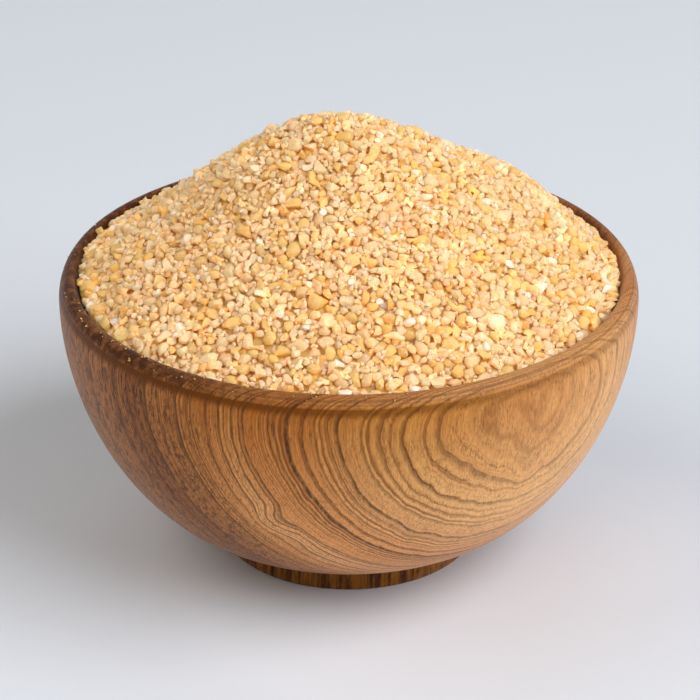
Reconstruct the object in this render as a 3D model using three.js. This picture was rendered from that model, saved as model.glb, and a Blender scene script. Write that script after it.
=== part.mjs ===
// A turned wooden bowl on a short foot, heaped with broken wheat.
// Millimetres, +Z up. The origin is the middle of the foot's underside.
import * as THREE from "three";

// Bowl, as turned on a lathe.
const OUTER_RADIUS = 55;
const BOWL_HEIGHT = 56.6;
const FOOT_RADIUS = 25.2;
const FOOT_HEIGHT = 6.3;
const FOOT_CHAMFER = 0.4;
const BELLY_REACH = new THREE.Vector2(14.6, 22.4); // pull of the belly's curve at the foot, at the rim
const LIP_OUTER = new THREE.Vector2(2.25, 4.7); // outer rounding of the lip, across and down
const LIP_INNER = new THREE.Vector2(0.8, 0.6);
const FLOOR_THICKNESS = 11; // foot included
const FLOOR_REACH = 50;
const WALL_REACH = new THREE.Vector2(5, 9.4); // pull of the inside curve below the lip, inward and down
const BOWL_SIDES = 60;
const BELLY_STEPS = 9;
const LIP_OUTER_STEPS = 3;
const LIP_INNER_STEPS = 2;

// Wheat: a mound that meets the inside wall a little below the lip.
const WHEAT_GAP = 0.4; // between the wheat and the wall
const EDGE_SHARE = 0.055; // how far along the inside curve the wheat's edge lies
const INSIDE_SHARES = [EDGE_SHARE, 0.15, 0.28, 0.42, 0.56, 0.7, 0.84];
const HEAP_SLOPE = 0.64; // rise over run of the mound's side
const HEAP_ROUNDING = 10; // radius of its rounded top
const HUMMOCK_SPREAD = 9;
const HUMMOCKS = [
  { x: -34, y: 20, rise: 1.2 },
  { x: -24, y: 13, rise: 2.5 },
  { x: -12, y: 6, rise: 4.4 },
  { x: 2, y: 4, rise: 1.9 },
  { x: 14, y: 6, rise: 3.1 },
  { x: 24, y: 12, rise: 1.0 },
  { x: 35, y: 18, rise: 6.8 },
];

// Grain-size bumps, each a peak in a net of triangles, with valleys round it.
const NET_RINGS = 40;
const BUMP_LOW = 0.35;
const BUMP_HIGH = 1.2;
const VALLEY_DEPTH = 0.25;
const SIDEWAYS = 0.36; // how far a peak or valley strays from the net
const SEED = 7;

const WOOD = new THREE.MeshStandardMaterial({ color: 0xb0763f, roughness: 0.5, metalness: 0 });
const GRAIN = new THREE.MeshStandardMaterial({ color: 0xe8c88e, roughness: 0.7, metalness: 0 });

// The curve of the bowl's inside, from the lip down to the middle of the floor.
function insideCurve() {
  const top = new THREE.Vector2(OUTER_RADIUS - LIP_OUTER.x - LIP_INNER.x, BOWL_HEIGHT - LIP_INNER.y);
  return new THREE.CubicBezierCurve(
    top,
    new THREE.Vector2(top.x - WALL_REACH.x, top.y - WALL_REACH.y),
    new THREE.Vector2(FLOOR_REACH, FLOOR_THICKNESS),
    new THREE.Vector2(0, FLOOR_THICKNESS),
  );
}

// The bowl's half section, from the middle of its underside round to the middle of its floor.
function bowlProfile() {
  const widest = new THREE.Vector2(OUTER_RADIUS, BOWL_HEIGHT - LIP_OUTER.y);
  const crest = OUTER_RADIUS - LIP_OUTER.x;
  const belly = new THREE.CubicBezierCurve(
    new THREE.Vector2(FOOT_RADIUS, FOOT_HEIGHT),
    new THREE.Vector2(FOOT_RADIUS + BELLY_REACH.x, FOOT_HEIGHT),
    new THREE.Vector2(widest.x, widest.y - BELLY_REACH.y),
    widest,
  );
  const lipOutside = new THREE.EllipseCurve(crest, widest.y, LIP_OUTER.x, LIP_OUTER.y, 0, Math.PI / 2);
  const lipInside = new THREE.EllipseCurve(
    crest, BOWL_HEIGHT - LIP_INNER.y, LIP_INNER.x, LIP_INNER.y, Math.PI / 2, Math.PI,
  );
  const inside = insideCurve();
  return [
    new THREE.Vector2(0, 0),
    new THREE.Vector2(FOOT_RADIUS - FOOT_CHAMFER, 0),
    new THREE.Vector2(FOOT_RADIUS, FOOT_CHAMFER),
    ...belly.getPoints(BELLY_STEPS),
    ...lipOutside.getPoints(LIP_OUTER_STEPS).slice(1),
    ...lipInside.getPoints(LIP_INNER_STEPS).slice(1),
    ...INSIDE_SHARES.map((share) => inside.getPoint(share)),
    new THREE.Vector2(0, FLOOR_THICKNESS),
  ];
}

function makeBowl() {
  const geometry = new THREE.LatheGeometry(bowlProfile(), BOWL_SIDES);
  geometry.rotateX(Math.PI / 2);
  const bowl = new THREE.Mesh(geometry, WOOD);
  bowl.name = "bowl";
  return bowl;
}

// Repeatable draws from 0 to 1.
function makeRandom(seed) {
  let state = seed;
  return () => {
    state = (state * 1664525 + 1013904223) % 4294967296;
    return state / 4294967296;
  };
}

// A point of the wheat's outer face against the wall, as radius and height.
function wallPoint(share) {
  const inside = insideCurve();
  const point = inside.getPoint(share);
  const along = inside.getTangent(share);
  return new THREE.Vector2(point.x + along.y * WHEAT_GAP, point.y - along.x * WHEAT_GAP);
}

// Height of the mound's smooth surface.
function moundHeight(x, y, edge) {
  const distance = Math.hypot(x, y);
  const cone = HEAP_SLOPE * (Math.hypot(edge.x, HEAP_ROUNDING) - Math.hypot(distance, HEAP_ROUNDING));
  const fade = 1 - (distance / edge.x) ** 4;
  let rise = 0;
  for (const hummock of HUMMOCKS) {
    const away = Math.hypot(x - hummock.x, y - hummock.y) / HUMMOCK_SPREAD;
    rise += hummock.rise * Math.exp(-0.5 * away * away);
  }
  return edge.y + cone + rise * fade;
}

// The net that carries the bumps: NET_RINGS hexagonal rings, drawn out to circles.
function netPoints() {
  const points = [{ q: 0, r: 0, ring: 0, angle: 0 }];
  for (let ring = 1; ring <= NET_RINGS; ring++) {
    for (let side = 0; side < 6; side++) {
      for (let step = 0; step < ring; step++) {
        let q = ring - step;
        let r = step;
        for (let turn = 0; turn < side; turn++) {
          [q, r] = [-r, q + r];
        }
        points.push({ q, r, ring, angle: ((side + step / ring) * Math.PI) / 3 });
      }
    }
  }
  return points;
}

// The mound's upper face: every third point of the net is a grain's peak.
function addTop(vertices, triangles, edge) {
  const random = makeRandom(SEED);
  const between = (low, high) => low + (high - low) * random();
  const indexOf = new Map();
  const points = netPoints();
  for (const { q, r, ring, angle } of points) {
    const onEdge = ring === NET_RINGS;
    const peak = (((q - r) % 3) + 3) % 3 === 0;
    const stray = onEdge ? 0 : SIDEWAYS;
    const radius = (edge.x * ring) / NET_RINGS;
    const x = radius * Math.cos(angle) + between(-stray, stray);
    const y = radius * Math.sin(angle) + between(-stray, stray);
    const bump = peak ? between(BUMP_LOW, BUMP_HIGH) : between(-VALLEY_DEPTH, 0);
    indexOf.set(`${q},${r}`, vertices.length);
    vertices.push([x, y, onEdge ? edge.y : moundHeight(x, y, edge) + bump]);
  }
  for (const { q, r } of points) {
    const here = indexOf.get(`${q},${r}`);
    const east = indexOf.get(`${q + 1},${r}`);
    const north = indexOf.get(`${q},${r + 1}`);
    const northWest = indexOf.get(`${q - 1},${r + 1}`);
    if (east !== undefined && north !== undefined) triangles.push([here, east, north]);
    if (north !== undefined && northWest !== undefined) triangles.push([here, north, northWest]);
  }
}

// Joins two rings, the lower one with as many points as the upper one or half as many.
function joinRings(triangles, upper, lower) {
  const halved = upper.length === 2 * lower.length;
  for (let i = 0; i < lower.length; i++) {
    const next = lower[(i + 1) % lower.length];
    if (halved) {
      const middle = upper[2 * i + 1];
      triangles.push([upper[2 * i], lower[i], middle]);
      triangles.push([middle, lower[i], next]);
      triangles.push([middle, next, upper[(2 * i + 2) % upper.length]]);
    } else {
      const after = upper[(i + 1) % upper.length];
      triangles.push([upper[i], lower[i], next]);
      triangles.push([upper[i], next, after]);
    }
  }
}

// The mound's underside, which follows the inside wall in ever coarser rings.
function addUnderside(vertices, triangles) {
  const ringSize = 6 * NET_RINGS;
  let upper = Array.from({ length: ringSize }, (_, i) => vertices.length - ringSize + i);
  for (const share of INSIDE_SHARES.slice(1)) {
    const { x: radius, y: height } = wallPoint(share);
    const coarser = upper.length > BOWL_SIDES || share === INSIDE_SHARES.at(-1);
    const count = coarser ? upper.length / 2 : upper.length;
    const lower = [];
    for (let i = 0; i < count; i++) {
      const angle = (i / count) * 2 * Math.PI;
      lower.push(vertices.length);
      vertices.push([radius * Math.cos(angle), radius * Math.sin(angle), height]);
    }
    joinRings(triangles, upper, lower);
    upper = lower;
  }
  const middle = vertices.length;
  vertices.push([0, 0, FLOOR_THICKNESS + WHEAT_GAP]);
  upper.forEach((corner, i) => triangles.push([corner, middle, upper[(i + 1) % upper.length]]));
}

function makeWheat() {
  const vertices = [];
  const triangles = [];
  addTop(vertices, triangles, wallPoint(EDGE_SHARE));
  addUnderside(vertices, triangles);
  const geometry = new THREE.BufferGeometry();
  geometry.setAttribute("position", new THREE.Float32BufferAttribute(vertices.flat(), 3));
  geometry.setIndex(triangles.flat());
  geometry.computeVertexNormals();
  const wheat = new THREE.Mesh(geometry, GRAIN);
  wheat.name = "broken_wheat";
  return wheat;
}

const group = new THREE.Group();
group.add(makeBowl(), makeWheat());
export default group;
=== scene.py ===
"""A turned wooden bowl heaped with broken wheat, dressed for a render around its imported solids.

Lengths in this script are millimetres until a mesh is made, which turns them into metres.
The origin is the middle of the foot's underside, +Z up, and the camera stands towards -Y.
"""
import math
from collections import namedtuple

import bmesh
import bpy
import numpy as np
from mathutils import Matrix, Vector


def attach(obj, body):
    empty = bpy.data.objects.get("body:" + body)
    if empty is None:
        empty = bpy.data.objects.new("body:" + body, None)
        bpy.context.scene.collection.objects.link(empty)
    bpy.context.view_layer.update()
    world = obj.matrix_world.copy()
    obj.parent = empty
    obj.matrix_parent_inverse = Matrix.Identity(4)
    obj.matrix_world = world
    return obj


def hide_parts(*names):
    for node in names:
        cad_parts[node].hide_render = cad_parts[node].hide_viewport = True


MM = 0.001

# ---- bowl, the same dimensions as the solid ----
OUTER_RADIUS = 55.0
BOWL_HEIGHT = 56.6
FOOT_RADIUS = 25.2
FOOT_HEIGHT = 6.3
FOOT_CHAMFER = 0.4
BELLY_REACH = (14.6, 22.4)
LIP_OUTER = (2.25, 4.7)
LIP_INNER = (0.8, 0.6)
FLOOR_THICKNESS = 11.0
FLOOR_REACH = 50.0
WALL_REACH = (5.0, 9.4)
BOWL_SIDES = 256

# ---- heap, the same mound as the solid ----
WHEAT_GAP = 0.4
EDGE_SHARE = 0.055
HEAP_SLOPE = 0.64
HEAP_ROUNDING = 10.0
HUMMOCK_SPREAD = 9.0
HUMMOCKS = (
    # x, y, rise
    (-34, 20, 1.2),
    (-24, 13, 2.5),
    (-12, 6, 4.4),
    (2, 4, 1.9),
    (14, 6, 3.1),
    (24, 12, 1.0),
    (35, 18, 6.8),
)

# ---- heap, what the solid leaves out ----
BED_DEPTH = 1.9  # the first grains come to rest this far under the mound's surface
CORE_DEPTH = 1.0  # and the core fills the gaps between them up to this far under it
CORE_RELIEF = 0.3
CORE_RINGS = 110
CORE_SIDES = 330
SWELLS = ((16.0, 0.35), (7.0, 0.25))  # wavelength and height of the heap's small swells
SWELL_WAVES = 6  # waves in random directions that make up each swell
WAVES_TOGETHER = 2.4  # and how many of them stand on top of each other as a rule
WAVE_STRETCH = (0.7, 1.4)
SWELL_FADE = 4.0  # distance from the wall within which the swells fade out
EDGE_RISES = (
    # wheat heaped against parts of the wall: bearing in degrees, rise, spread in degrees
    (150, 2.0, 42),
    (8, 1.6, 26),
    (270, 0.6, 60),
)
RISE_REACH = 7.0  # how far in from the wall such a rise fades

# ---- grains ----
SEED = 11
TEMPLATES = 30  # shapes for each kind
COARSE_BELOW = 0.6  # half length of a grain that needs fewer faces
STRETCH_SPREAD = 0.14  # how much the proportions vary from shape to shape
BREAK_PLACES = (0.25, 0.82)  # of a flat break, as a share of the way from the middle to the skin
MERGE_DISTANCE = 0.05  # corners nearer than this become one
ASKEW = 0.1  # a face whose plane cuts deeper than this into the grain is an askew sliver
STEEP = 0.02  # a face whose normal rises or falls less than this bounds neither top nor underside
ROUGHNESS = 0.035  # how far a grain's corners stray from its flat faces
SHARP_ANGLE = 42  # degrees between two faces of a grain that meet in a crisp edge
SCALE_LIMITS = (0.55, 1.65)

CELL = 0.25  # of the height map that the grains are dropped on
MAP_MARGIN = 12  # cells beyond the wheat's edge
SPOTS_COMPARED = 24
PLACE_TRIES = 6  # how often a grain that would stand too proud is dropped somewhere else
ROLL_STEPS = 6
ROLL_CELLS = ((2, 0), (-2, 0), (0, 2), (0, -2), (1, 1), (-1, -1), (1, -1), (-1, 1))
ROLL_GAIN = 0.01  # a grain lies still where rolling on would lower it by less
TUMBLE = 0.4  # how far a grain lies from flat on the slope
WALL_GAP = 0.15  # between a grain and the wall
GRAIN_PROUD = 0.9  # how far a grain's top may stand over the mound
CRUMB_PROUD = 1.2

Kind = namedtuple("Kind", "count half_sizes spread breaks colour")
KINDS = {
    "cream_grains": Kind(1700, (1.46, 1.20, 0.95), 0.26, (5, 8), "cream"),
    "golden_grains": Kind(1600, (1.46, 1.18, 0.93), 0.26, (5, 8), "golden"),
    "peach_grains": Kind(1100, (1.46, 1.16, 0.90), 0.26, (4, 7), "peach"),
    "amber_grains": Kind(300, (1.30, 1.02, 0.85), 0.24, (4, 7), "amber"),
    "small_grains": Kind(1900, (0.94, 0.78, 0.64), 0.24, (4, 7), "pale"),
}
CRUMBS = Kind(3800, (0.50, 0.40, 0.32), 0.25, (2, 4), "pale")
LIP_CRUMBS = 60
LIP_BEARING = (225, 40)  # degrees: where most of them lie, and how far they spread
LIP_REACH = (-0.4, 1.5)  # from the lip's crest outwards
LIP_CRUMB_SCALE = (0.3, 0.65)
LIP_CRUMB_COLOUR = "amber"

# ---- camera, from the fit to the photo's outline ----
PICTURE_WIDTH = 700
CAMERA_DISTANCE = 550.0  # to the middle of the rim's plane
CAMERA_ELEVATION = math.radians(25.15)
CAMERA_DIP = math.radians(1.663)  # looks this much lower than the rim's middle
FOCAL_PIXELS = 2897.4
CENTRE_SHIFT = 1.2 / PICTURE_WIDTH
SENSOR_WIDTH = 36.0

# ---- light, in metres: a wide soft key from the right, and weak fills ----
LIGHT_TARGET = (0, 0, 0.04)
LIGHT_DISTANCE = 1.4
Light = namedtuple("Light", "bearing height size power colour")  # bearing 0 is +X and 90 is +Y
LIGHTS = {
    "key": Light(-28, 40, 1.33, 20.9, (0.975, 1.01, 1.09)),
    "left_fill": Light(180, 45, 1.18, 6.1, (1.0, 0.97, 0.95)),
    "back_fill": Light(90, 40, 1.18, 3.1, (0.96, 1.0, 1.06)),
    "front_left_fill": Light(-130, 35, 1.18, 3.2, (1.0, 0.97, 0.92)),
    "front_fill": Light(-90, 50, 1.18, 2.25, (1.0, 0.98, 0.98)),
}
WORLD_STRENGTH = 0.103
STUDIO_REACH = 6.0  # half the floor's width
LIGHT_BOUNCES = 12  # light goes from grain to grain many times


# ---------------------------------------------------------------- shapes

def bezier(p0, p1, p2, p3, count):
    """Points along a cubic curve, ends included."""
    t = np.linspace(0, 1, count)[:, None]
    p0, p1, p2, p3 = (np.array(p, float) for p in (p0, p1, p2, p3))
    return (1 - t) ** 3 * p0 + 3 * (1 - t) ** 2 * t * p1 + 3 * (1 - t) * t ** 2 * p2 + t ** 3 * p3


def quarter_ellipse(centre, radii, start, count):
    """A quarter turn from the angle start, as radius and height."""
    a = np.linspace(start, start + math.pi / 2, count)
    return np.stack([centre[0] + radii[0] * np.cos(a), centre[1] + radii[1] * np.sin(a)], 1)


def inside_curve(count):
    """The bowl's inside, from the lip to the middle of the floor."""
    top = (OUTER_RADIUS - LIP_OUTER[0] - LIP_INNER[0], BOWL_HEIGHT - LIP_INNER[1])
    below = (top[0] - WALL_REACH[0], top[1] - WALL_REACH[1])
    return bezier(top, below, (FLOOR_REACH, FLOOR_THICKNESS), (0, FLOOR_THICKNESS), count)


def bowl_profile():
    """Half section of the bowl, from the middle of its underside to the middle of its floor."""
    widest = (OUTER_RADIUS, BOWL_HEIGHT - LIP_OUTER[1])
    crest = OUTER_RADIUS - LIP_OUTER[0]
    foot_top = (FOOT_RADIUS, FOOT_HEIGHT)
    belly = bezier(
        foot_top,
        (FOOT_RADIUS + BELLY_REACH[0], FOOT_HEIGHT),
        (widest[0], widest[1] - BELLY_REACH[1]),
        widest,
        72,
    )
    underside = np.stack([np.linspace(0, FOOT_RADIUS - FOOT_CHAMFER, 8), np.zeros(8)], 1)
    foot_side = np.stack([np.full(5, FOOT_RADIUS), np.linspace(FOOT_CHAMFER, FOOT_HEIGHT, 5)], 1)
    lip_outside = quarter_ellipse((crest, widest[1]), LIP_OUTER, 0, 20)
    lip_inside = quarter_ellipse((crest, BOWL_HEIGHT - LIP_INNER[1]), LIP_INNER, math.pi / 2, 8)
    inside = inside_curve(40)
    return np.concatenate([underside, foot_side, belly[1:], lip_outside[1:], lip_inside[1:], inside[1:]])


def mound_height(x, y, edge_radius, edge_height):
    """Height of the heap's smooth surface over a point."""
    distance = np.hypot(x, y)
    cone = HEAP_SLOPE * (math.hypot(edge_radius, HEAP_ROUNDING) - np.hypot(distance, HEAP_ROUNDING))
    fade = 1 - np.minimum(distance / edge_radius, 1) ** 4
    rise = sum(
        h * np.exp(-0.5 * ((x - hx) ** 2 + (y - hy) ** 2) / HUMMOCK_SPREAD ** 2) for hx, hy, h in HUMMOCKS
    )
    return edge_height + cone + rise * fade


def wall_radius(height):
    """Radius of the bowl's inside at a height near the rim."""
    curve = inside_curve(401)[::-1]
    return np.interp(height, curve[:, 1], curve[:, 0])


def heap_edge():
    """Radius and height of the ring where the wheat meets the wall."""
    curve = inside_curve(401)
    at = int(round(EDGE_SHARE * 400))
    along = curve[at + 1] - curve[at - 1]
    along /= np.linalg.norm(along)
    return curve[at, 0] + along[1] * WHEAT_GAP, curve[at, 1] - along[0] * WHEAT_GAP


# ---------------------------------------------------------------- meshes

def mesh_from_arrays(name, points, triangles, smooth=True):
    """An object from arrays of points, in millimetres, and triangles."""
    mesh = bpy.data.meshes.new(name)
    mesh.vertices.add(len(points))
    mesh.vertices.foreach_set("co", (np.asarray(points, np.float32) * MM).ravel())
    mesh.loops.add(3 * len(triangles))
    mesh.loops.foreach_set("vertex_index", np.asarray(triangles, np.int32).ravel())
    mesh.polygons.add(len(triangles))
    mesh.polygons.foreach_set("loop_start", np.arange(0, 3 * len(triangles), 3, dtype=np.int32))
    mesh.polygons.foreach_set("use_smooth", np.full(len(triangles), smooth))
    mesh.update(calc_edges=True)
    piece = bpy.data.objects.new(name, mesh)
    bpy.context.scene.collection.objects.link(piece)
    return piece


def lathe(name, profile, sides):
    """A closed turned body whose profile starts and ends on the axis."""
    inner = profile[1:-1]
    angles = np.arange(sides) * 2 * math.pi / sides
    ring = np.stack([np.cos(angles), np.sin(angles)], 1)
    points = np.concatenate(
        [np.concatenate([ring * r, np.full((sides, 1), z)], 1) for r, z in inner]
        + [[[0, 0, profile[0, 1]], [0, 0, profile[-1, 1]]]]
    )
    here = np.arange(sides)
    after = (here + 1) % sides
    bands = []
    for k in range(len(inner) - 1):
        low, high = k * sides, (k + 1) * sides
        bands.append(np.stack([low + here, low + after, high + after], 1))
        bands.append(np.stack([low + here, high + after, high + here], 1))
    first, last = len(points) - 2, len(points) - 1
    bands.append(np.stack([after, here, np.full(sides, first)], 1))
    top = (len(inner) - 1) * sides
    bands.append(np.stack([top + here, top + after, np.full(sides, last)], 1))
    return mesh_from_arrays(name, points, np.concatenate(bands))


def heap_core(surface, random):
    """A closed body that fills the gaps between the grains, a little uneven on top."""
    rings, sides = CORE_RINGS, CORE_SIDES
    angles = np.arange(sides) * 2 * math.pi / sides
    rim_height = surface.target_at(surface.edge_radius, angles) - CORE_DEPTH
    rim_radius = wall_radius(rim_height) - WHEAT_GAP
    share = np.linspace(0, 1, rings + 1)[1:, None]
    r = share * rim_radius
    relief = random.uniform(-CORE_RELIEF, CORE_RELIEF, r.shape)
    z = surface.target_at(r, angles) - CORE_DEPTH + relief
    z[-1] = rim_height
    top = np.stack([r * np.cos(angles), r * np.sin(angles), z], -1).reshape(-1, 3)
    wall = inside_curve(60)
    wall = wall[wall[:, 1] < rim_height.min() - 0.5][:-1]
    circle = np.stack([np.cos(angles), np.sin(angles)], 1)
    skirt = [
        np.concatenate([circle * (radius - WHEAT_GAP), np.full((sides, 1), height + WHEAT_GAP)], 1)
        for radius, height in wall
    ]
    summit_height = float(surface.target_at(0.0, 0.0)) - CORE_DEPTH
    points = np.concatenate([top] + skirt + [[[0, 0, summit_height], [0, 0, FLOOR_THICKNESS + WHEAT_GAP]]])
    here = np.arange(sides)
    after = (here + 1) % sides
    bands = []
    for k in range(rings + len(skirt) - 1):
        low, high = k * sides, (k + 1) * sides
        bands.append(np.stack([low + here, high + here, high + after], 1))
        bands.append(np.stack([low + here, high + after, low + after], 1))
    summit, bottom = len(points) - 2, len(points) - 1
    bands.append(np.stack([np.full(sides, summit), here, after], 1))
    last = (rings + len(skirt) - 1) * sides
    bands.append(np.stack([last + after, last + here, np.full(sides, bottom)], 1))
    return mesh_from_arrays("wheat_core", points, np.concatenate(bands))


# ---------------------------------------------------------------- grains

def unit_vectors(random, count):
    """Directions spread evenly over the sphere."""
    v = random.normal(size=(count, 3))
    return v / np.linalg.norm(v, axis=1)[:, None]


class Shape:
    """A broken grain: an ellipsoid with flat breaks. Before it is roughened it is convex."""

    def __init__(self, half_sizes, breaks, random):
        ball = bmesh.new()
        fineness = 1 if half_sizes[0] < COARSE_BELOW else 2
        bmesh.ops.create_icosphere(ball, subdivisions=fineness, radius=1)
        stretch = np.array(half_sizes) * np.exp(random.normal(0, STRETCH_SPREAD, 3))
        skin = ball.faces.layers.float.new("skin")
        for face in ball.faces:
            face[skin] = 1
        for corner in ball.verts:
            corner.co = Vector(stretch * np.array(corner.co))
        for _ in range(int(random.integers(*breaks))):
            self.chip(ball, skin, stretch, random)
        bmesh.ops.remove_doubles(ball, verts=ball.verts[:], dist=MERGE_DISTANCE)
        bmesh.ops.triangulate(ball, faces=ball.faces[:])
        ball.verts.index_update()
        ball.normal_update()
        self.points = np.array([corner.co[:] for corner in ball.verts])
        self.triangles = np.array([[corner.index for corner in face.verts] for face in ball.faces])
        self.skin = np.array([face[skin] for face in ball.faces])
        normals = np.array([face.normal[:] for face in ball.faces])
        ball.free()
        self.points -= (self.points.min(0) + self.points.max(0)) / 2
        self.keep_planes(normals)
        self.drop_folds()
        self.points += random.normal(0, ROUGHNESS * min(half_sizes), self.points.shape)

    def keep_planes(self, normals):
        """Keeps the planes of the faces, which say all of a convex form, but not those of askew slivers."""
        offsets = (self.points[self.triangles[:, 0]] * normals).sum(1)
        true = (self.points @ normals.T - offsets).max(0) < ASKEW
        self.normals, self.offsets = normals[true], offsets[true]

    def drop_folds(self):
        """Drops faces that lie back to back, where a sliver was folded flat as its corners became one."""
        corners = np.sort(self.triangles, axis=1)
        _, which, times = np.unique(corners, axis=0, return_inverse=True, return_counts=True)
        single = times[which.ravel()] == 1
        self.triangles, self.skin = self.triangles[single], self.skin[single]

    @staticmethod
    def chip(ball, skin, stretch, random):
        """Takes a flat break off the ball."""
        direction = unit_vectors(random, 1)[0]
        reach = np.linalg.norm(direction * stretch)
        place = direction * reach * random.uniform(*BREAK_PLACES)
        everything = ball.verts[:] + ball.edges[:] + ball.faces[:]
        cut = bmesh.ops.bisect_plane(
            ball,
            geom=everything,
            dist=0.001,
            plane_co=place,
            plane_no=direction,
            clear_outer=True,
        )
        rim = [edge for edge in cut["geom_cut"] if isinstance(edge, bmesh.types.BMEdge)]
        for face in bmesh.ops.holes_fill(ball, edges=rim, sides=0)["faces"]:
            face[skin] = 0


def turned_to(normal, random):
    """A rotation that lays a grain's short side on the slope, more or less."""
    yaw = random.uniform(0, 2 * math.pi)
    spin = np.array([[math.cos(yaw), -math.sin(yaw), 0], [math.sin(yaw), math.cos(yaw), 0], [0, 0, 1]])
    lean = normal + TUMBLE * random.normal(size=3)
    lean /= np.linalg.norm(lean)
    side = np.cross([0.0, 1.0, 0.1], lean)
    side /= np.linalg.norm(side)
    return np.stack([side, np.cross(lean, side), lean], 1) @ spin


class Footprint:
    """Where a turned shape's underside and top are, over the cells that it covers."""

    def __init__(self, shape, scale, turn):
        self.points = shape.points * scale @ turn.T
        normals, offsets = shape.normals @ turn.T, shape.offsets * scale
        reach = np.abs(self.points[:, :2]).max(0)
        nx, ny = (int(length / CELL) for length in reach)
        self.nx, self.ny = nx, ny
        x, y = np.meshgrid(np.arange(-nx, nx + 1) * CELL, np.arange(-ny, ny + 1) * CELL, indexing="ij")
        up, down = normals[:, 2] > STEEP, normals[:, 2] < -STEEP
        self.top = self.plane_heights(normals[up], offsets[up], x, y).min(0)
        self.under = self.plane_heights(normals[down], offsets[down], x, y).max(0)
        self.solid = self.top > self.under
        self.under[~self.solid] = np.inf

    @staticmethod
    def plane_heights(normals, offsets, x, y):
        """Height of each plane over each cell."""
        flat = offsets[:, None, None] - normals[:, 0, None, None] * x - normals[:, 1, None, None] * y
        return flat / normals[:, 2, None, None]


class Surface:
    """Height map of what has been laid so far, onto which the grains are dropped one by one."""

    def __init__(self, edge_radius, edge_height, random):
        self.edge_radius, self.edge_height = edge_radius, edge_height
        self.half = int(edge_radius / CELL) + MAP_MARGIN
        axis = np.arange(-self.half, self.half + 1) * CELL
        self.x, self.y = np.meshgrid(axis, axis, indexing="ij")
        self.target = mound_height(self.x, self.y, edge_radius, edge_height)
        r = np.hypot(self.x, self.y)
        off_wall = np.clip((edge_radius - r) / SWELL_FADE, 0, 1)
        self.target += off_wall * self.swells(random) + self.edge_rise(r)
        self.level = np.maximum(self.target - BED_DEPTH, self.wall_height(r) + WALL_GAP)
        slope_x, slope_y = np.gradient(self.target, CELL)
        self.normal = np.stack([-slope_x, -slope_y, np.ones_like(slope_x)], -1)
        self.normal /= np.linalg.norm(self.normal, axis=2)[:, :, None]

    @staticmethod
    def wall_height(r):
        """Height of the bowl's inside at a radius, and of the lip's top beyond it."""
        curve = inside_curve(401)[::-1]
        return np.interp(r, curve[:, 0], curve[:, 1], right=BOWL_HEIGHT)

    def cell_at(self, r, angles):
        """The cells nearest to points given by radius and angle."""
        i = np.rint(r * np.cos(angles) / CELL).astype(int) + self.half
        j = np.rint(r * np.sin(angles) / CELL).astype(int) + self.half
        return i, j

    def target_at(self, r, angles):
        """Height of the heap's surface at any radius and angle."""
        return self.target[self.cell_at(r, angles)]

    def edge_rise(self, r):
        """Wheat heaped against parts of the wall, up to the lip."""
        bearing = np.degrees(np.arctan2(self.y, self.x))
        near = np.exp(-np.clip(self.edge_radius - r, 0, None) / RISE_REACH)
        rise = np.zeros_like(r)
        for at, height, spread in EDGE_RISES:
            off = (bearing - at + 180) % 360 - 180
            rise += height * np.exp(-0.5 * (off / spread) ** 2)
        return rise * near

    def swells(self, random):
        """Low uneven swells, as where a few grains hold together."""
        swell = np.zeros_like(self.x)
        for length, height in SWELLS:
            for _ in range(SWELL_WAVES):
                a, start = random.uniform(0, 2 * math.pi, 2)
                along = self.x * math.cos(a) + self.y * math.sin(a)
                wavelength = length * random.uniform(*WAVE_STRETCH)
                swell += height / WAVES_TOGETHER * np.sin(2 * math.pi * along / wavelength + start)
        return swell

    def spot(self, random):
        """Of some random cells, the one with the most room under the mound's surface."""
        reach = self.edge_radius * np.sqrt(random.uniform(size=SPOTS_COMPARED))
        turn = random.uniform(0, 2 * math.pi, SPOTS_COMPARED)
        i, j = self.cell_at(reach, turn)
        best = int(np.argmax(self.target[i, j] - self.level[i, j]))
        return int(i[best]), int(j[best])

    def inside(self, i, j):
        """Whether a cell lies within the wheat's edge."""
        return math.hypot(self.x[i, j], self.y[i, j]) < self.edge_radius

    def rest(self, i, j, grain):
        """Height of a grain's middle when it touches what lies under it."""
        level = self.level[i - grain.nx:i + grain.nx + 1, j - grain.ny:j + grain.ny + 1]
        return (level - grain.under).max()

    def settle(self, i, j, grain):
        """Moves a grain to a lower spot nearby, as it would roll, and says how high it rests."""
        height = self.rest(i, j, grain)
        low = height - self.target[i, j]
        for _ in range(ROLL_STEPS):
            around = [(i + a, j + b) for a, b in ROLL_CELLS]
            heights = [self.rest(a, b, grain) for a, b in around]
            lows = [h - self.target[a, b] for h, (a, b) in zip(heights, around)]
            best = int(np.argmin(lows))
            if lows[best] >= low - ROLL_GAIN:
                break
            low, height, (i, j) = lows[best], heights[best], around[best]
        return i, j, height

    def lay(self, i, j, height, grain):
        """Raises the level by a grain that came to rest."""
        level = self.level[i - grain.nx:i + grain.nx + 1, j - grain.ny:j + grain.ny + 1]
        level[grain.solid] = np.maximum(level, height + grain.top)[grain.solid]


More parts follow.
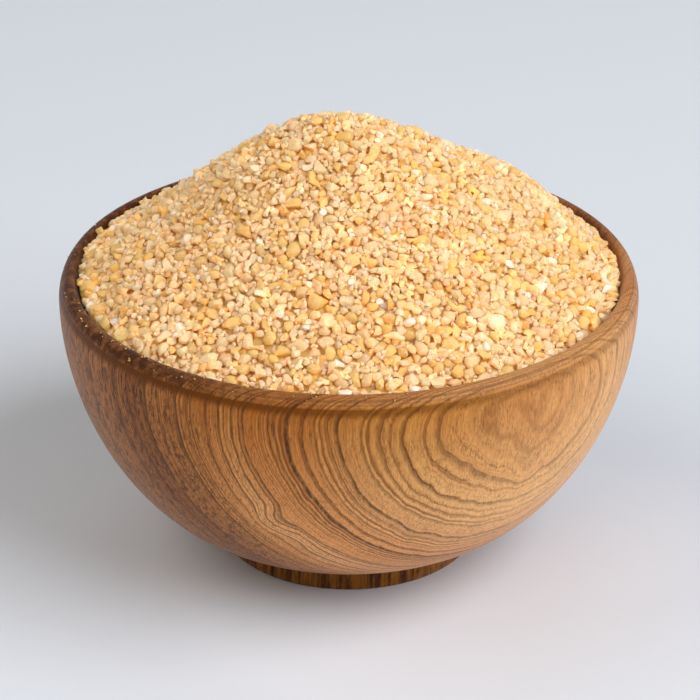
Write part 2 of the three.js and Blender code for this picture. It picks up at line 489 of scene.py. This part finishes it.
def lay_kinds(surface, kinds, proud_limit, random):
    """Drops the grains of some kinds in a mixed order. Returns each kind's placed shapes."""
    laid = {}
    order = []
    for name, kind in kinds.items():
        shapes = [Shape(kind.half_sizes, kind.breaks, random) for _ in range(TEMPLATES)]
        order += [(name, kind, shapes)] * kind.count
        laid[name] = []
    for at in random.permutation(len(order)):
        name, kind, shapes = order[at]
        shape = shapes[int(random.integers(TEMPLATES))]
        scale = float(np.clip(math.exp(random.normal(0, kind.spread)), *SCALE_LIMITS))
        for _ in range(PLACE_TRIES):
            i, j = surface.spot(random)
            grain = Footprint(shape, scale, turned_to(surface.normal[i, j], random))
            i, j, height = surface.settle(i, j, grain)
            proud = height + grain.top.max() - surface.target[i, j]
            if proud < proud_limit and surface.inside(i, j):
                surface.lay(i, j, height, grain)
                place = np.array([surface.x[i, j], surface.y[i, j], height])
                laid[name].append((grain.points + place, shape, random.uniform(size=2)))
                break
    return laid


def lip_crumbs(random):
    """Crumbs that fell on the lip, most of them on the left and at the front."""
    shapes = [Shape(CRUMBS.half_sizes, CRUMBS.breaks, random) for _ in range(TEMPLATES)]
    crest = OUTER_RADIUS - LIP_OUTER[0]
    upright = np.array([0.0, 0.0, 1.0])
    laid = []
    for shape in random.choice(shapes, LIP_CRUMBS):
        bearing = math.radians(random.normal(*LIP_BEARING))
        beyond = random.uniform(*LIP_REACH)
        drop = LIP_OUTER[1] * (1 - math.sqrt(1 - (max(beyond, 0) / LIP_OUTER[0]) ** 2))
        points = shape.points * random.uniform(*LIP_CRUMB_SCALE) @ turned_to(upright, random).T
        reach = crest + beyond
        height = BOWL_HEIGHT - drop - points[:, 2].min()
        place = np.array([reach * math.cos(bearing), reach * math.sin(bearing), height])
        laid.append((points + place, shape, random.uniform(size=2)))
    return laid


def join(name, laid):
    """One mesh of many grains. Its attribute holds two draws for each grain, and where it has skin."""
    counts = np.array([len(points) for points, _, _ in laid])
    starts = np.concatenate([[0], np.cumsum(counts)[:-1]])
    points = np.concatenate([points for points, _, _ in laid])
    triangles = np.concatenate([shape.triangles + start for (_, shape, _), start in zip(laid, starts)])
    used, corners = np.unique(triangles, return_inverse=True)
    piece = mesh_from_arrays(name, points[used], corners.reshape(-1, 3))
    faces = np.array([len(shape.triangles) for _, shape, _ in laid])
    values = np.ones((len(triangles), 4), np.float32)
    values[:, 0] = np.repeat([draws[0] for _, _, draws in laid], faces)
    values[:, 1] = np.concatenate([shape.skin for _, shape, _ in laid])
    values[:, 2] = np.repeat([draws[1] for _, _, draws in laid], faces)
    paint = piece.data.attributes.new("grain", "FLOAT_COLOR", "FACE")
    paint.data.foreach_set("color", values.ravel())
    piece.data.set_sharp_from_angle(angle=math.radians(SHARP_ANGLE))
    return piece


# ---------------------------------------------------------------- materials

class Nodes:
    """Short calls for a material's node tree."""

    def __init__(self, name):
        self.material = bpy.data.materials.new(name)
        self.material.use_nodes = True
        self.tree = self.material.node_tree
        self.tree.nodes.clear()
        self.shader = self.add("ShaderNodeBsdfPrincipled")
        output = self.add("ShaderNodeOutputMaterial")
        self.tree.links.new(self.shader.outputs[0], output.inputs["Surface"])
        self.place = self.add("ShaderNodeTexCoord").outputs["Object"]

    def add(self, kind, **settings):
        node = self.tree.nodes.new(kind)
        for key, value in settings.items():
            setattr(node, key, value)
        return node

    def put(self, socket, value):
        """Links a socket or sets a plain value."""
        if isinstance(value, bpy.types.NodeSocket):
            self.tree.links.new(value, socket)
        else:
            socket.default_value = value

    def maths(self, operation, a, b=0.0, c=0.0, clamp=False):
        node = self.add("ShaderNodeMath", operation=operation, use_clamp=clamp)
        for socket, value in zip(node.inputs, (a, b, c)):
            self.put(socket, value)
        return node.outputs[0]

    def product(self, *factors):
        result = factors[0]
        for factor in factors[1:]:
            result = self.maths("MULTIPLY", result, factor)
        return result

    def vector(self, operation, a, b=(0, 0, 0)):
        node = self.add("ShaderNodeVectorMath", operation=operation)
        self.put(node.inputs[0], a)
        self.put(node.inputs[1], b)
        return node.outputs["Value" if operation in ("LENGTH", "DOT_PRODUCT", "DISTANCE") else "Vector"]

    def noise(self, place, scale, detail=2.0, roughness=0.5, stretch=(1, 1, 1)):
        node = self.add("ShaderNodeTexNoise")
        self.put(node.inputs["Vector"], self.vector("MULTIPLY", place, stretch))
        node.inputs["Scale"].default_value = scale
        node.inputs["Detail"].default_value = detail
        node.inputs["Roughness"].default_value = roughness
        return node.outputs["Fac"]

    def between(self, value, low, high, out_low=0.0, out_high=1.0, smooth=False):
        """Maps a value from one range to another, and holds it there."""
        node = self.add("ShaderNodeMapRange", clamp=True)
        node.interpolation_type = "SMOOTHSTEP" if smooth else "LINEAR"
        for socket, v in zip(node.inputs, (value, low, high, out_low, out_high)):
            self.put(socket, v)
        return node.outputs[0]

    def ramp(self, value, stops):
        node = self.add("ShaderNodeValToRGB")
        elements = node.color_ramp.elements
        while len(elements) < len(stops):
            elements.new(0.5)
        for element, (position, colour) in zip(elements, stops):
            element.position = position
            element.color = (*colour, 1)
        self.put(node.inputs[0], value)
        return node.outputs["Color"]

    def mix(self, share, a, b, blend="MIX"):
        node = self.add("ShaderNodeMix", data_type="RGBA", blend_type=blend, clamp_factor=True)
        self.put(node.inputs[0], share)
        self.put(node.inputs[6], a if isinstance(a, bpy.types.NodeSocket) else (*a, 1))
        self.put(node.inputs[7], b if isinstance(b, bpy.types.NodeSocket) else (*b, 1))
        return node.outputs[2]

    def bump(self, height, distance, strength=1.0, below=None):
        node = self.add("ShaderNodeBump")
        node.inputs["Strength"].default_value = strength
        node.inputs["Distance"].default_value = distance * MM
        self.put(node.inputs["Height"], height)
        if below is not None:
            self.put(node.inputs["Normal"], below)
        return node.outputs[0]


def linear(red, green, blue):
    """A screen colour from 0 to 255 as linear light."""
    def one(value):
        share = value / 255
        return share / 12.92 if share <= 0.04045 else ((share + 0.055) / 1.055) ** 2.4
    return one(red), one(green), one(blue)


PITH = (-24.9, 33.5)  # where the tree's middle crosses the rim's plane
PITH_BOW = (-0.00394, 0.00136)  # how far it drifts, times the square of the depth under that plane
RING_SWAYS = (
    # scale, stretch and size of the rings' waves
    (0.05, 0.6, 0.7),
    (0.18, 0.5, 0.6),
    (0.9, 0.4, 0.12),
)
RING_KINKS = (
    # place, reach, push
    ((-14, -49, 28), 6, 1.3),
    ((-9, -49, 22), 5, -0.9),
    ((32, -42, 35), 5, 0.5),
)
RINGS = (
    # distance from the pith, width, darkness
    (65.4, 0.60, 0.50), (68.5, 0.30, 0.25), (70.9, 0.60, 0.65), (73.2, 0.45, 0.50), (74.3, 0.30, 0.45),
    (75.6, 0.60, 0.70), (77.2, 0.25, 0.40), (78.1, 0.30, 0.45), (79.4, 0.42, 0.60), (80.7, 0.22, 0.45),
    (82.4, 0.20, 0.50), (83.4, 0.16, 0.40), (84.6, 0.20, 0.55), (85.6, 0.26, 0.65), (87.0, 0.16, 0.40),
    (87.8, 0.20, 0.65), (88.5, 0.26, 0.90), (89.4, 0.20, 0.60), (90.2, 0.16, 0.45), (91.0, 0.18, 0.50),
    (91.55, 0.22, 0.80), (92.7, 0.18, 0.45), (93.4, 0.15, 0.35), (94.3, 0.16, 0.45), (95.5, 0.15, 0.65),
    (96.5, 0.25, 0.25),
)
WOOD_BY_AGE = (
    # distance from the pith, colour
    (64, (178, 114, 62)), (68, (180, 114, 60)), (71, (170, 105, 54)), (73, (152, 88, 38)),
    (75, (168, 102, 46)), (77, (192, 122, 62)), (80, (212, 140, 74)), (82.5, (240, 164, 96)),
    (84, (254, 184, 118)), (86.3, (242, 163, 94)), (89, (244, 166, 98)), (91, (250, 180, 114)),
    (94.5, (254, 192, 124)), (97, (244, 178, 114)),
)
WOOD_BROWN = linear(124, 68, 22)
WOOD_PALE = linear(172, 108, 48)
WOOD_DARK = linear(58, 26, 6)
WOOD_OIL = (0.54, 0.38, 0.14)  # what oil leaves of the colour at the rim
LIP_MARK = linear(110, 60, 30)
LIP_TOP_DARK = linear(66, 28, 4)
# painted shade: the dark line under the lip
LIP_SHADOW_COLOUR = linear(100, 50, 0)
# painted shade on the inner wall between the lip and the wheat
INSIDE_SHADE_COLOUR = linear(84, 44, 12)
# the foot's own dark wood, with painted shade under the bowl
FOOT_LIGHT = linear(158, 98, 24)
FOOT_DARK = linear(58, 28, 4)
LIP_SHADOW_LINE = 54.8  # height of the painted shadow line that bounds the lip, and of the lip over it


class Wood:
    """Where a point of the bowl lies, in the bowl and in the tree, for the wood's node tree."""

    def __init__(self, n):
        self.n = n
        self.place = n.vector("MULTIPLY", n.place, (1 / MM, 1 / MM, 1 / MM))
        axes = n.add("ShaderNodeSeparateXYZ")
        n.put(axes.inputs[0], self.place)
        self.x, self.y, self.z = axes.outputs
        self.radius = self.length(self.x, self.y)
        self.age = self.swayed(self.from_pith())
        self.on_lip = n.between(self.z, LIP_SHADOW_LINE - 0.2, LIP_SHADOW_LINE + 0.4, smooth=True)

    def length(self, a, b):
        n = self.n
        return n.maths("SQRT", n.maths("ADD", n.product(a, a), n.product(b, b)))

    def from_pith(self):
        """Distance from the tree's middle."""
        n = self.n
        down = n.maths("SUBTRACT", self.z, BOWL_HEIGHT)
        squared = n.product(down, down)
        offsets = []
        for here, pith, bow in zip((self.x, self.y), PITH, PITH_BOW):
            straight = n.maths("SUBTRACT", here, pith)
            offsets.append(n.maths("SUBTRACT", straight, n.product(squared, bow)))
        return self.length(*offsets)

    def swayed(self, age):
        """The rings don't run round the middle in true circles."""
        n = self.n
        for scale, stretch, sway in RING_SWAYS:
            wave = n.noise(self.place, scale, 2.0, stretch=(1, 1, stretch))
            age = n.maths("ADD", age, n.product(n.maths("SUBTRACT", wave, 0.5), sway))
        for at, reach, push in RING_KINKS:
            near = n.between(n.vector("DISTANCE", self.place, at), reach, 0, 0, push, smooth=True)
            age = n.maths("ADD", age, near)
        return age

    def streaks(self, scale, detail, roughness, stretch):
        """Noise drawn out along the height, as the fibres run."""
        return self.n.noise(self.place, scale, detail, roughness, stretch=(1, 1, stretch))

    def lines(self, value, scale, detail):
        """Noise that varies along one value alone, such as from ring to ring."""
        n = self.n
        node = n.add("ShaderNodeTexNoise", noise_dimensions="1D")
        n.put(node.inputs["W"], n.product(value, scale))
        node.inputs["Detail"].default_value = detail
        node.inputs["Roughness"].default_value = 0.6
        return node.outputs["Fac"]


def wood_base(n, wood):
    """Brown heartwood on the left, pale young wood at the front and right."""
    low_age, high_age = WOOD_BY_AGE[0][0], WOOD_BY_AGE[-1][0]
    stops = [((at - low_age) / (high_age - low_age), linear(*colour)) for at, colour in WOOD_BY_AGE]
    return n.ramp(n.between(wood.age, low_age, high_age), stops)


def wood_tints(n, wood, colour):
    """Oil darkens the young wood towards the rim. Near the foot on the right it is browner, which is
    painted shade under the belly, and it is softly mottled.
    """
    near_rim = n.between(wood.z, 28, 54)
    young = n.between(wood.age, 76, 82)
    less_on_right = n.between(wood.x, 15, 48, 1, 0.45)
    less_on_lip = n.between(wood.on_lip, 0, 1, 1, 0.7)
    oil = n.product(near_rim, young, less_on_right, less_on_lip)
    colour = n.mix(oil, colour, WOOD_OIL, "MULTIPLY")
    # painted shade: browner low on the young wood near the foot, where the belly shades it
    under = n.product(n.between(wood.z, 21, 12, 0, 0.25), n.between(wood.age, 80, 88))
    colour = n.mix(under, colour, WOOD_BROWN)
    mottle = n.between(n.noise(wood.place, 0.12, 3.0, 0.6, stretch=(1, 1, 0.5)), 0.48, 0.72, 0, 0.16)
    return n.mix(mottle, colour, WOOD_BROWN)


def wood_bands(n, wood, colour):
    """Brown and pale bands from year to year, the brown ones weaker on the right."""
    years = wood.lines(wood.age, 0.9, 5.0)
    strength = n.between(wood.x, 10, 32, 1, 0.35, smooth=True)
    brown = n.product(n.between(years, 0.50, 0.68, 0, 0.85), strength)
    colour = n.mix(brown, colour, WOOD_BROWN)
    return n.mix(n.between(years, 0.49, 0.35, 0, 0.55), colour, WOOD_PALE, "SCREEN")


def wood_rings(n, wood, colour):
    """Dark late wood where a year ended, sharp on its outer side, and here and there broken."""
    broken = n.between(wood.streaks(0.9, 3.0, 0.7, 0.3), 0.32, 0.54, 0.4, 1.0)
    broken = n.product(broken, n.between(wood.x, 5, 35, 1, 0.65, smooth=True))
    for at, width, darkness in RINGS:
        outer = n.between(wood.age, at + 0.6 * width, at + 0.15 * width, 0, darkness, smooth=True)
        inner = n.between(wood.age, at - 1.6 * width, at, 0, 1, smooth=True)
        colour = n.mix(n.product(outer, inner, broken), colour, WOOD_DARK)
    return colour


def wood_flecks(n, wood, colour):
    """Dark flecks, most of them in the heartwood."""
    heart = n.between(wood.age, 82, 77, 0.1, 0.75, smooth=True)
    flecks = n.between(wood.streaks(1.1, 3.0, 0.7, 0.35), 0.50, 0.62)
    return n.mix(n.product(heart, flecks), colour, WOOD_DARK)


def wood_fibres(n, wood, fibre, colour):
    """Brown fibres, stronger in the heartwood."""
    strength = n.between(wood.age, 78, 88, 0.6, 0.35)
    return n.mix(n.product(n.between(fibre, 0.46, 0.66), strength), colour, WOOD_BROWN)


def wood_pores(n, wood):
    """How deep the pores are at a point: short upright strokes, in rows from year to year."""
    crowd = n.between(n.noise(wood.place, 0.25, 2.0), 0.35, 0.65, 0.62, 0.52)
    pores = n.between(n.maths("SUBTRACT", wood.streaks(3.6, 1.0, 0.5, 0.22), crowd), 0.0, 0.06)
    rows = n.between(wood.lines(wood.age, 0.8, 2.0), 0.44, 0.6, 0.3, 1.0)
    strength = n.between(wood.age, 78, 86, 0.85, 0.4)
    return n.product(pores, rows, strength)


def wood_lip(n, wood, marks, colour):
    """The lip: turning marks round it, and its top darker, deepest on the left."""
    colour = n.mix(n.product(wood.on_lip, n.between(marks, 0.4, 0.62, 0.05, 0.55)), colour, LIP_MARK)
    on_top = n.between(wood.z, BOWL_HEIGHT - 3.4, BOWL_HEIGHT - 0.8, smooth=True)
    across = n.maths("SUBTRACT", wood.x, n.product(wood.y, 0.35))
    left = n.between(across, 25, -30, 0.05, 0.9, smooth=True)
    blotch = n.between(n.noise(wood.place, 0.5, 3.0, 0.7), 0.40, 0.56, 0.3, 1.0)
    return n.mix(n.product(on_top, left, blotch), colour, LIP_TOP_DARK)


def wood_lip_shadow(n, wood, colour):
    """Painted shade: the dark line under the lip, fainter on the right."""
    over = n.between(wood.z, LIP_SHADOW_LINE - 2.4, LIP_SHADOW_LINE - 0.8, smooth=True)
    under = n.between(wood.z, LIP_SHADOW_LINE, LIP_SHADOW_LINE - 0.3, smooth=True)
    strength = n.between(wood.x, 45, -35, 0.4, 0.9, smooth=True)
    return n.mix(n.product(over, under, strength), colour, LIP_SHADOW_COLOUR)


def wood_inside_shade(n, wood, colour):
    """Painted shade on the inside of the wall, darker between the lip and the wheat."""
    wall = OUTER_RADIUS - LIP_OUTER[0] - LIP_INNER[0]
    inside = n.product(n.between(wood.radius, wall + 0.2, wall - 0.1), n.between(wood.z, 44, 45))
    strength = n.between(wood.x, 45, -10, 0.25, 0.6)
    return n.mix(n.product(inside, strength), colour, INSIDE_SHADE_COLOUR)


def wood_foot_and_shade(n, wood, colour):
    """The foot: dark and streaked, its own dark wood with painted shade under the bowl, less so on the
    right.
    """
    foot = n.between(wood.z, FOOT_HEIGHT - 0.1, FOOT_HEIGHT - 0.5)
    # the painted shade under the bowl is weaker on the right, towards the key light
    strength = n.between(wood.x, 8, 22, 0.75, 0.35, smooth=True)
    streaks = n.between(wood.streaks(1.2, 2.0, 0.6, 0.08), 0.4, 0.62)
    return n.mix(n.product(foot, strength), colour, n.mix(streaks, FOOT_LIGHT, FOOT_DARK))


def wood_material():
    """Oiled hardwood with upright fibres."""
    n = Nodes("turned_wood")
    wood = Wood(n)
    fibre = wood.streaks(3.2, 3.0, 0.7, 0.1)
    pores = wood_pores(n, wood)
    marks = wood.lines(n.maths("ADD", wood.radius, n.product(wood.z, 0.8)), 2.4, 3.0)
    colour = wood_tints(n, wood, wood_base(n, wood))
    colour = wood_bands(n, wood, colour)
    colour = wood_rings(n, wood, colour)
    colour = wood_flecks(n, wood, colour)
    colour = wood_fibres(n, wood, fibre, colour)
    colour = n.mix(pores, colour, WOOD_DARK)
    colour = wood_lip(n, wood, marks, colour)
    colour = wood_lip_shadow(n, wood, colour)
    colour = wood_inside_shade(n, wood, colour)
    colour = wood_foot_and_shade(n, wood, colour)
    n.put(n.shader.inputs["Base Color"], colour)
    n.put(n.shader.inputs["Roughness"], n.between(fibre, 0.3, 0.7, 0.38, 0.52))
    n.shader.inputs["Specular IOR Level"].default_value = 0.12
    n.shader.inputs["Sheen Weight"].default_value = 0.14
    n.shader.inputs["Sheen Roughness"].default_value = 0.4
    relief = n.bump(fibre, 0.03, 0.4, n.bump(pores, -0.06, 0.5))
    turned = n.bump(n.product(marks, wood.on_lip), 0.08, 0.5, relief)
    n.put(n.shader.inputs["Normal"], turned)
    return n.material


GRAIN_COLOURS = {
    # broken face from dark to light, then the skin
    "cream": (linear(243, 208, 142), linear(251, 224, 177), linear(240, 196, 126)),
    "golden": (linear(242, 197, 108), linear(250, 212, 138), linear(235, 184, 96)),
    "peach": (linear(242, 200, 137), linear(249, 217, 167), linear(232, 181, 117)),
    "amber": (linear(237, 182, 92), linear(247, 201, 118), linear(221, 160, 80)),
    "pale": (linear(245, 212, 150), linear(253, 234, 194), linear(242, 203, 132)),
    # the core shows only in the gaps between the grains; its deeper golden is painted shade of those gaps
    "core": (linear(235, 185, 90), linear(243, 201, 117), linear(234, 180, 86)),
}
CHALK = linear(255, 249, 232)


def grain_material(kind):
    """Broken wheat: pale starchy breaks and a browner skin, a little light passing through."""
    n = Nodes("wheat_" + kind)
    dark, light, skin_colour = GRAIN_COLOURS[kind]
    place = n.vector("MULTIPLY", n.place, (1 / MM, 1 / MM, 1 / MM))
    paint = n.add("ShaderNodeAttribute", attribute_name="grain")
    parts = n.add("ShaderNodeSeparateColor")
    n.put(parts.inputs[0], paint.outputs["Color"])
    tone, skin, dustiness = parts.outputs
    speck = n.noise(place, 1.3, 3.0, 0.6)
    patch = n.noise(place, 0.16, 2.0, 0.6)
    shade = n.maths("ADD", n.product(tone, 0.5), n.between(speck, 0.32, 0.68, -0.35, 0.45))
    shade = n.maths("ADD", shade, n.between(patch, 0.35, 0.65, -0.25, 0.45), clamp=True)
    colour = n.mix(shade, dark, light)
    colour = n.mix(n.product(skin, n.between(dustiness, 0.0, 1.0, 0.05, 0.7)), colour, skin_colour)
    dust = n.between(n.noise(place, 2.6, 2.0), 0.5, 0.7, 0, 0.4)
    dust = n.product(dust, n.between(dustiness, 0.4, 0.9))
    flour = n.maths("MAXIMUM", dust, n.between(dustiness, 0.97, 0.985, 0, 0.8))
    colour = n.mix(flour, colour, CHALK)
    n.put(n.shader.inputs["Base Color"], colour)
    n.put(n.shader.inputs["Roughness"], n.between(speck, 0.3, 0.7, 0.42, 0.66))
    n.shader.inputs["Specular IOR Level"].default_value = 0.4
    n.shader.subsurface_method = "BURLEY"
    n.shader.inputs["Subsurface Weight"].default_value = 1.0
    n.shader.inputs["Subsurface Radius"].default_value = (1.0, 0.8, 0.5)
    n.shader.inputs["Subsurface Scale"].default_value = 2.5 * MM
    n.put(n.shader.inputs["Normal"], n.bump(n.noise(place, 2.2, 2.0, 0.6), 0.2, 0.35))
    return n.material


def floor_material():
    n = Nodes("pale_floor")
    n.shader.inputs["Base Color"].default_value = (*linear(228, 231, 234), 1)
    n.shader.inputs["Roughness"].default_value = 0.7
    n.shader.inputs["Specular IOR Level"].default_value = 0.2
    return n.material


# ---------------------------------------------------------------- the scene

def dress(piece, material, node):
    """Gives a piece its material, and its place in the frame."""
    piece.data.materials.append(material)
    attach(piece, "root")
    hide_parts(node)


def make_heap():
    """The core, the kinds of grains, and the crumbs, each a piece of its own."""
    random = np.random.default_rng(SEED)
    edge_radius, edge_height = heap_edge()
    surface = Surface(edge_radius, edge_height, random)
    # the core's deeper golden colour is painted shade of the gaps between the grains
    dress(heap_core(surface, random), grain_material("core"), "broken_wheat")
    laid = lay_kinds(surface, KINDS, GRAIN_PROUD, random)
    laid.update(lay_kinds(surface, {"crumbs": CRUMBS}, CRUMB_PROUD, random))
    laid["lip_crumbs"] = lip_crumbs(random)
    for name, grains in laid.items():
        colour = LIP_CRUMB_COLOUR if name == "lip_crumbs" else KINDS.get(name, CRUMBS).colour
        dress(join(name, grains), grain_material(colour), "broken_wheat")


def add_light(name, light):
    """A round soft light that looks at the bowl from a bearing and a height, both in degrees."""
    lamp = bpy.data.lights.new(name, "AREA")
    lamp.shape = "DISK"
    lamp.size = light.size
    lamp.energy = light.power
    lamp.color = light.colour
    piece = bpy.data.objects.new(name, lamp)
    bpy.context.scene.collection.objects.link(piece)
    bearing, height = math.radians(light.bearing), math.radians(light.height)
    level = math.cos(height)
    way = Vector((level * math.cos(bearing), level * math.sin(bearing), math.sin(height)))
    piece.location = Vector(LIGHT_TARGET) + way * LIGHT_DISTANCE
    piece.rotation_euler = (-way).to_track_quat("-Z", "Y").to_euler()


def make_floor():
    mesh = bpy.data.meshes.new("floor")
    reach = STUDIO_REACH
    corners = [(-reach, -reach, 0), (reach, -reach, 0), (reach, reach, 0), (-reach, reach, 0)]
    mesh.from_pydata(corners, [], [(0, 1, 2, 3)])
    floor = bpy.data.objects.new("floor", mesh)
    bpy.context.scene.collection.objects.link(floor)
    floor.data.materials.append(floor_material())


def make_light():
    """A faint even light from all round, and the lamps."""
    world = bpy.data.worlds.new("studio")
    world.use_nodes = True
    world.node_tree.nodes["Background"].inputs[1].default_value = WORLD_STRENGTH
    bpy.context.scene.world = world
    for name, light in LIGHTS.items():
        add_light(name, light)


def make_camera():
    """The camera stands at the photo's place and angle, level from side to side."""
    lens = bpy.data.cameras.new("camera")
    lens.sensor_width = SENSOR_WIDTH
    lens.lens = FOCAL_PIXELS / PICTURE_WIDTH * SENSOR_WIDTH
    lens.shift_x = CENTRE_SHIFT
    lens.clip_start = 0.01
    camera = bpy.data.objects.new("camera", lens)
    bpy.context.scene.collection.objects.link(camera)
    camera.location = (
        0,
        -CAMERA_DISTANCE * math.cos(CAMERA_ELEVATION) * MM,
        (BOWL_HEIGHT + CAMERA_DISTANCE * math.sin(CAMERA_ELEVATION)) * MM,
    )
    camera.rotation_euler = (math.pi / 2 - CAMERA_ELEVATION - CAMERA_DIP, 0, 0)
    bpy.context.scene.camera = camera


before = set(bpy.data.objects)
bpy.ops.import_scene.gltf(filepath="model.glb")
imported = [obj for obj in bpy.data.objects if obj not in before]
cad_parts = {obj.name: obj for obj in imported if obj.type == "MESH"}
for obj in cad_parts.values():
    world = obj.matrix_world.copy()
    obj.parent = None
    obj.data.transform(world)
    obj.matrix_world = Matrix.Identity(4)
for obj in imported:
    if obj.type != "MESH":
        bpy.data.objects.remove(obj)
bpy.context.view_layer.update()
bpy.context.scene.view_settings.view_transform = "Standard"
bpy.context.scene.cycles.diffuse_bounces = LIGHT_BOUNCES
make_camera()
make_floor()
make_light()
dress(lathe("turned_bowl", bowl_profile(), BOWL_SIDES), wood_material(), "bowl")
make_heap()
